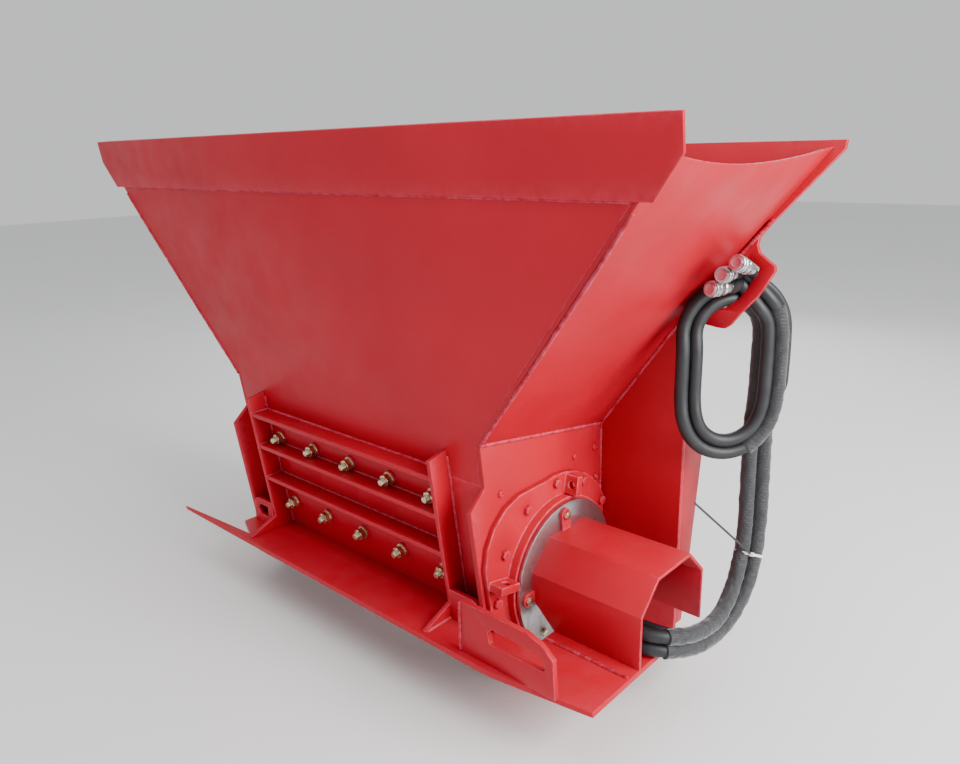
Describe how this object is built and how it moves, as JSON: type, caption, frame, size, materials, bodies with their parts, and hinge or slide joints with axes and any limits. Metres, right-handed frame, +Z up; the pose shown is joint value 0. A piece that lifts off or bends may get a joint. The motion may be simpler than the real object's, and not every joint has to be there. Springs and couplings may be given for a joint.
{
  "type": "hydraulic crusher hopper attachment",
  "caption": "Carrier-mounted crushing hopper: a wide funnel over a toothed rotor, driven at one end by a hydraulic motor and planetary gearbox, with hoses hung on an ear",
  "frame": {"origin": "on the floor, under the middle of the hopper mouth and of the rotor", "axes": "+X along the rotor toward the gearbox, +Y toward the carrier, +Z up"},
  "size_m": [1.65, 0.5879, 1.1011],
  "materials": {
    "red_enamel": "glossy enamel",
    "zinc_plate": "zinc plated",
    "bare_steel": "bare, lightly worn",
    "machined_steel": "machined",
    "dark_casting": "black paint over casting",
    "black_rubber": "dull",
    "red_cap": "soft satin",
    "white_nylon": "satin"
  },
  "bodies": {
    "frame": {"adapter_ring": "bare_steel", "base_plate": "red_enamel", "bearing_bolts": "zinc_plate", "bearing_cap": "red_enamel", "bearing_housing": "red_enamel", "bearing_outer_ring": "machined_steel", "cable_tie": "white_nylon", "chamber_front_wall": "red_enamel", "coupler_bodies": "zinc_plate", "coupler_caps": "red_cap", "coupler_tails": "black_rubber", "end_plate_left": "red_enamel", "end_plate_right": "red_enamel", "end_wall_left": "red_enamel", "end_wall_right": "red_enamel", "foot_webs": "red_enamel", "front_liner": "bare_steel", "front_posts": "red_enamel", "front_ribs": "red_enamel", "gearbox_flange_bolts": "zinc_plate", "gearbox_housing": "red_enamel", "hopper_back_wall": "red_enamel", "hopper_front_wall": "red_enamel", "hose_coil": "black_rubber", "hose_fittings": "zinc_plate", "hose_lower": "black_rubber", "hose_upper": "black_rubber", "hydraulic_motor": "dark_casting", "liner_bolts": "zinc_plate", "liner_nuts": "zinc_plate", "liner_washers": "zinc_plate", "lip_band": "red_enamel", "motor_bolts": "zinc_plate", "motor_guard": "red_enamel", "output_bearing": "machined_steel", "quick_attach_rails": "red_enamel", "quick_attach_sides": "red_enamel", "rear_liner": "bare_steel", "ring_bolts": "zinc_plate", "ring_gear": "machined_steel", "shaft_seal": "black_rubber", "side_liner_bolts": "zinc_plate", "side_liners": "bare_steel", "skid_runners": "red_enamel", "wing_plate": "red_enamel"},
    "rotor": {"rotor_drum": "bare_steel", "rotor_hubs": "bare_steel", "rotor_teeth": "bare_steel", "rotor_shaft": "machined_steel", "bearing_inner_ring": "machined_steel", "bearing_rollers": "machined_steel", "planet_carrier": "machined_steel"},
    "drive_shaft": {"sun_gear": "machined_steel", "motor_shaft": "machined_steel"},
    "planet_1": {"planet_gear_1": "machined_steel"},
    "planet_2": {"planet_gear_2": "machined_steel"},
    "planet_3": {"planet_gear_3": "machined_steel"},
    "sleeve_1": {"coupler_sleeve_1": "zinc_plate"},
    "sleeve_2": {"coupler_sleeve_2": "zinc_plate"},
    "sleeve_3": {"coupler_sleeve_3": "zinc_plate"}
  },
  "joints": [
    {"name": "rotor_spin", "type": "hinge", "parent": "frame", "child": "rotor", "pos_m": [0, 0, 0.216], "axis": [1, 0, 0], "continuous": true},
    {"name": "drive_shaft_spin", "type": "hinge", "parent": "frame", "child": "drive_shaft", "pos_m": [0.45, 0, 0.216], "axis": [1, 0, 0], "continuous": true},
    {"name": "planet_1_spin", "type": "hinge", "parent": "rotor", "child": "planet_1", "pos_m": [0.39, 0, 0.254], "axis": [1, 0, 0], "continuous": true},
    {"name": "planet_2_spin", "type": "hinge", "parent": "rotor", "child": "planet_2", "pos_m": [0.39, -0.03291, 0.197], "axis": [1, 0, 0], "continuous": true},
    {"name": "planet_3_spin", "type": "hinge", "parent": "rotor", "child": "planet_3", "pos_m": [0.39, 0.03291, 0.197], "axis": [1, 0, 0], "continuous": true},
    {"name": "coupler_sleeve_1_slide", "type": "slide", "parent": "frame", "child": "sleeve_1", "axis": [0, 0.9955, -0.0948], "range_m": [0, 0.006], "stiffness_N_per_m": 600},
    {"name": "coupler_sleeve_2_slide", "type": "slide", "parent": "frame", "child": "sleeve_2", "axis": [-0.1638, 0.9831, -0.0819], "range_m": [0, 0.006], "stiffness_N_per_m": 600},
    {"name": "coupler_sleeve_3_slide", "type": "slide", "parent": "frame", "child": "sleeve_3", "axis": [-0.117, 0.9592, -0.2573], "range_m": [0, 0.006], "stiffness_N_per_m": 600}
  ],
  "couplings": [
    {"joint": "drive_shaft_spin", "follows": "rotor_spin", "ratio": 4.75},
    {"joint": "planet_1_spin", "follows": "rotor_spin", "ratio": -2.765},
    {"joint": "planet_2_spin", "follows": "rotor_spin", "ratio": -2.765},
    {"joint": "planet_3_spin", "follows": "rotor_spin", "ratio": -2.765}
  ]
}
